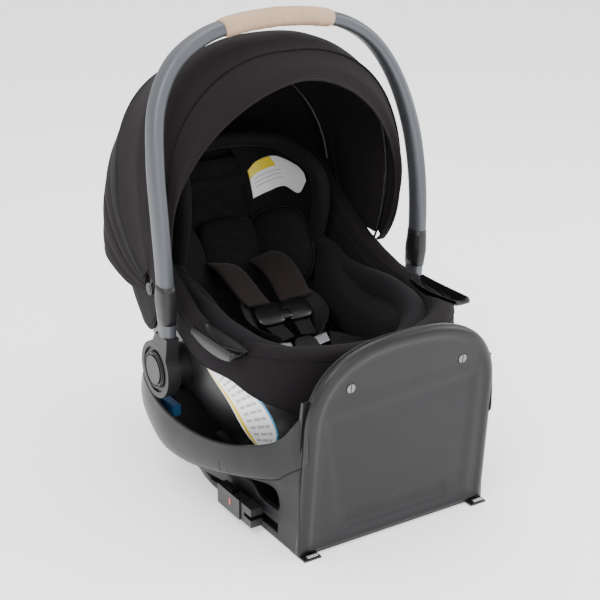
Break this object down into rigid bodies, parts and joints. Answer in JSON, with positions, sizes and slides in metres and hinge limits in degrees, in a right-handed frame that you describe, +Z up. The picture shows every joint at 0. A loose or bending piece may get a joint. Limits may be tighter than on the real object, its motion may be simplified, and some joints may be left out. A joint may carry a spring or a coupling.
{
  "type": "infant car seat",
  "caption": "Infant car seat: padded carrier bucket with harness, folding canopy and turning carry handle, lifting off a car base with an upright front panel.",
  "frame": {"origin": "middle of the footprint, on the surface the base stands on", "axes": "+Z up, -Y towards the upright panel at the foot end, +Y towards the head end, X across"},
  "size_m": [0.4442, 0.5924, 0.662],
  "materials": {
    "shell_plastic": "moulded fine grain, matte",
    "base_plastic": "moulded fine grain, matte grey",
    "rim_plastic": "satin smooth",
    "black_plastic": "satin black",
    "red_plastic": "satin red",
    "blue_plastic": "satin blue",
    "rubber": "matte",
    "steel": "brushed",
    "handle_metal": "satin anodised",
    "leather": "tan, fine pebble grain, stitched",
    "foam": "expanded foam beads",
    "outer_fabric": "close melange weave",
    "knit_fabric": "honeycomb knit",
    "webbing": "woven webbing",
    "cover_fabric": "padded strap cover",
    "label": "printed film, no lettering"
  },
  "bodies": {
    "base": {"base_lower_shell": "base_plastic", "base_rim": "rim_plastic", "panel_front": "base_plastic", "panel_back": "base_plastic", "panel_screws": "steel", "front_feet": "rubber", "foot_pins": "steel", "sole_pads": "rubber", "belt_liner_left": "black_plastic", "belt_liner_right": "black_plastic", "dock_tray": "black_plastic", "dock_saddles": "black_plastic", "belt_marker_left": "blue_plastic", "belt_marker_right": "blue_plastic", "anchor_rails": "steel"},
    "carrier": {"carrier_shell": "shell_plastic", "foam_liner": "foam", "carrier_bars": "steel", "seat_cover": "outer_fabric", "seat_pad": "knit_fabric", "head_pillow": "knit_fabric", "bolster_left": "knit_fabric", "bolster_right": "knit_fabric", "belt_guide_left": "black_plastic", "belt_guide_right": "black_plastic", "side_label_left": "label", "side_label_right": "label", "head_label": "label", "hub_mounts": "black_plastic", "pivot_pins": "steel", "canopy_mounts": "black_plastic", "release_housing": "black_plastic", "shoulder_straps": "webbing", "strap_covers": "cover_fabric", "chest_clip": "black_plastic", "hip_straps": "webbing", "buckle_tongues": "steel", "buckle_housing": "black_plastic", "crotch_strap": "webbing", "adjuster_strap": "webbing", "adjuster_housing": "black_plastic", "canopy_rear": "outer_fabric", "rear_bow": "steel"},
    "anchor_left": {"anchor_body_left": "black_plastic"},
    "anchor_right": {"anchor_body_right": "black_plastic"},
    "anchor_left_release": {"anchor_button_left": "black_plastic"},
    "anchor_right_release": {"anchor_button_right": "black_plastic"},
    "release": {"release_lever": "black_plastic"},
    "buckle_press": {"buckle_button": "red_plastic"},
    "adjuster_press": {"adjuster_button": "black_plastic"},
    "handle": {"handle_tube": "handle_metal", "handle_grip": "leather", "hub_left": "black_plastic", "hub_right": "black_plastic"},
    "handle_release_left": {"handle_button_left": "black_plastic"},
    "handle_release_right": {"handle_button_right": "black_plastic"},
    "front_canopy": {"canopy_front": "outer_fabric", "front_bow": "steel", "canopy_visor": "outer_fabric"},
    "middle_canopy": {"canopy_mid": "outer_fabric"}
  },
  "joints": [
    {"name": "carrier_lift", "type": "slide", "parent": "base", "child": "carrier", "axis": [0, 0, 1], "range_m": [0, 0.25]},
    {"name": "handle_turn", "type": "hinge", "parent": "carrier", "child": "handle", "pos_m": [0, 0.0044, 0.186], "axis": [-1, 0, 0], "range_deg": [0, 90]},
    {"name": "handle_button_left_press", "type": "slide", "parent": "handle", "child": "handle_release_left", "axis": [1, 0, 0], "range_m": [0, 0.003], "stiffness_N_per_m": 1200, "springref_m": -0.002},
    {"name": "handle_button_right_press", "type": "slide", "parent": "handle", "child": "handle_release_right", "axis": [-1, 0, 0], "range_m": [0, 0.003], "stiffness_N_per_m": 1200, "springref_m": -0.002},
    {"name": "canopy_fold", "type": "hinge", "parent": "carrier", "child": "front_canopy", "pos_m": [0, 0.0674, 0.28], "axis": [-1, 0, 0], "range_deg": [0, 60], "deforming": ["canopy_visor"]},
    {"name": "canopy_mid_fold", "type": "hinge", "parent": "carrier", "child": "middle_canopy", "pos_m": [0, 0.0674, 0.28], "axis": [-1, 0, 0], "range_deg": [0, 30]},
    {"name": "buckle_button_press", "type": "slide", "parent": "carrier", "child": "buckle_press", "axis": [0, 0.4695, -0.8829], "range_m": [0, 0.003], "stiffness_N_per_m": 1200, "springref_m": -0.002},
    {"name": "adjuster_button_press", "type": "slide", "parent": "carrier", "child": "adjuster_press", "axis": [0, -0.6157, -0.788], "range_m": [0, 0.002], "stiffness_N_per_m": 1200, "springref_m": -0.002},
    {"name": "release_lever_pull", "type": "hinge", "parent": "carrier", "child": "release", "pos_m": [0, 0.2579, 0.226], "axis": [1, 0, 0], "range_deg": [0, 25]},
    {"name": "anchor_left_slide", "type": "slide", "parent": "base", "child": "anchor_left", "axis": [0, -1, 0], "range_m": [-0.012, 0.05]},
    {"name": "anchor_right_slide", "type": "slide", "parent": "base", "child": "anchor_right", "axis": [0, -1, 0], "range_m": [-0.012, 0.05]},
    {"name": "anchor_left_button_press", "type": "slide", "parent": "anchor_left", "child": "anchor_left_release", "axis": [0, 0, -1], "range_m": [0, 0.002], "stiffness_N_per_m": 1200, "springref_m": -0.002},
    {"name": "anchor_right_button_press", "type": "slide", "parent": "anchor_right", "child": "anchor_right_release", "axis": [0, 0, -1], "range_m": [0, 0.002], "stiffness_N_per_m": 1200, "springref_m": -0.002}
  ],
  "couplings": [
    {"joint": "canopy_mid_fold", "follows": "canopy_fold", "ratio": 0.5}
  ]
}
